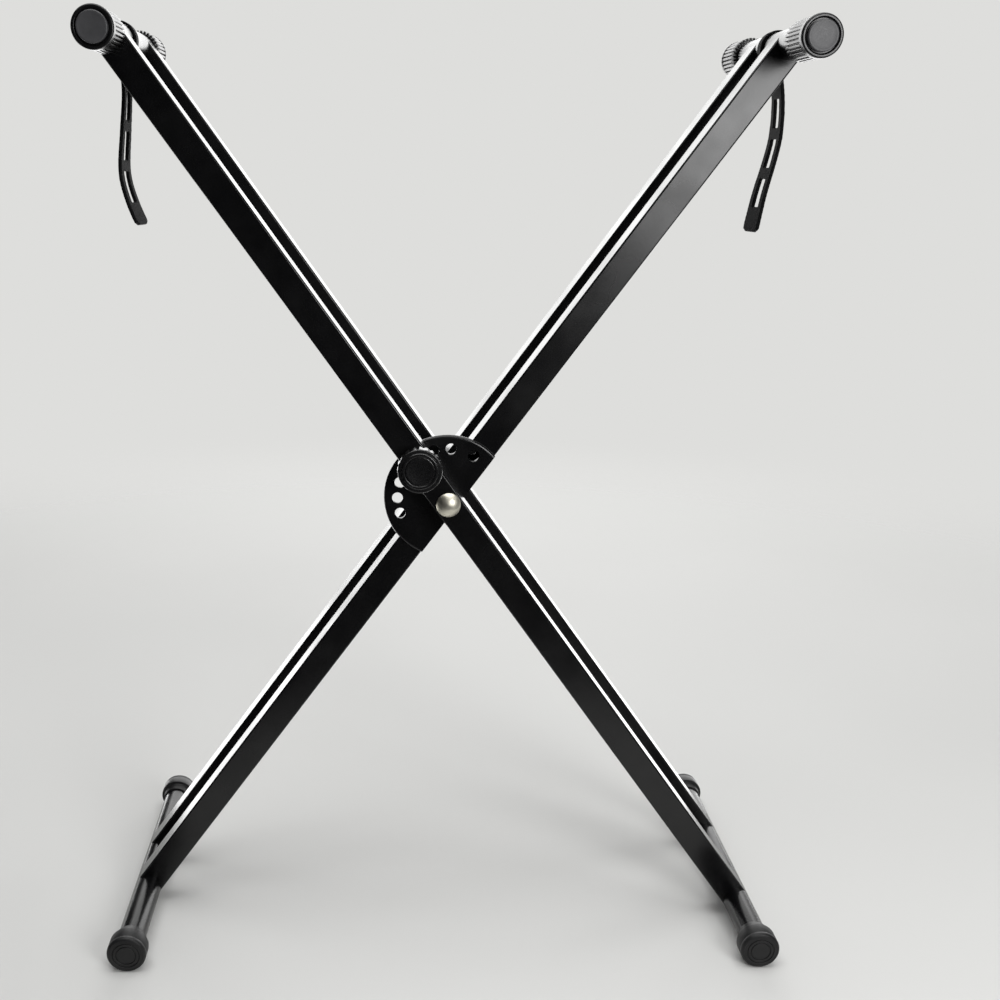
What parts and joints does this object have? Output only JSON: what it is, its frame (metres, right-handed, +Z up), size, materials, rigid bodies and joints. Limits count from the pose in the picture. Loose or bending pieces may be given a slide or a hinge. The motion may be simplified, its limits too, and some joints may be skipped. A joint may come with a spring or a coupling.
{
  "type": "folding keyboard stand",
  "caption": "Folding X-frame keyboard stand: crossed square-tube legs on round rails, with a spring pull-knob lock plate, rubber feet, ribbed rail collars and hold-down straps.",
  "frame": {"origin": "on the floor, under the pivot, midway between the front and rear legs", "axes": "+Z up, along the stand's height; -Y to the front, where the pull knob is; the legs cross in the XZ plane"},
  "size_m": [0.621, 0.3114, 0.8259],
  "materials": {
    "black_enamel": "satin",
    "plated_steel": "polished",
    "bright_steel": "satin",
    "spring_steel": "satin",
    "black_rubber": "matte",
    "strap_rubber": "matte",
    "plug_plastic": "matte",
    "knob_plastic": "satin",
    "nylon": "matte",
    "brass": "turned"
  },
  "bodies": {
    "inner_frame": {"foot_cap_left_front": "black_rubber", "foot_cap_left_rear": "black_rubber", "foot_rail_inner": "black_enamel", "hub_sleeve_inner_front": "bright_steel", "hub_sleeve_inner_rear": "bright_steel", "hub_spacer": "bright_steel", "leg_inner_front": "black_enamel", "leg_inner_rear": "black_enamel", "lock_plate": "black_enamel", "pivot_bolt": "plated_steel", "pivot_nut": "plated_steel", "pivot_washer_front": "nylon", "pivot_washer_rear": "nylon", "thrust_washer": "nylon", "top_collar_right_front": "black_rubber", "top_collar_right_rear": "black_rubber", "top_plug_right_front": "plug_plastic", "top_plug_right_rear": "plug_plastic", "top_rail_inner": "black_enamel"},
    "outer_frame": {"leg_outer_front": "black_enamel", "leg_outer_rear": "black_enamel", "top_rail_outer": "black_enamel", "foot_rail_outer": "black_enamel", "hub_sleeve_outer_front": "bright_steel", "hub_sleeve_outer_rear": "bright_steel", "lock_barrel": "bright_steel", "barrel_cap": "bright_steel", "pin_spring": "spring_steel", "top_collar_left_front": "black_rubber", "top_collar_left_rear": "black_rubber", "top_plug_left_front": "plug_plastic", "top_plug_left_rear": "plug_plastic", "foot_cap_right_front": "black_rubber", "foot_cap_right_rear": "black_rubber"},
    "lock": {"lock_pin": "bright_steel", "knob_body": "knob_plastic", "knob_insert": "brass", "knob_cap": "knob_plastic"},
    "strap_left": {"strap_left": "strap_rubber"},
    "strap_right": {"strap_right": "strap_rubber"}
  },
  "joints": [
    {"name": "fold", "type": "hinge", "parent": "inner_frame", "child": "outer_frame", "pos_m": [0, 0, 0.42353], "axis": [0, -1, 0], "range_deg": [-67, 73.7]},
    {"name": "lock_pull", "type": "slide", "parent": "outer_frame", "child": "lock", "axis": [0, 1, 0], "range_m": [-0.003, 0.0048], "stiffness_N_per_m": 1500, "springref_m": 0.009, "deforming": ["pin_spring"]},
    {"name": "strap_left_swing", "type": "hinge", "parent": "outer_frame", "child": "strap_left", "pos_m": [-0.27832, -0.0159, 0.80944], "axis": [0, -1, 0], "range_deg": [-140, 30]},
    {"name": "strap_right_swing", "type": "hinge", "parent": "inner_frame", "child": "strap_right", "pos_m": [0.27832, -0.0002, 0.80944], "axis": [0, -1, 0], "range_deg": [-30, 140]}
  ]
}
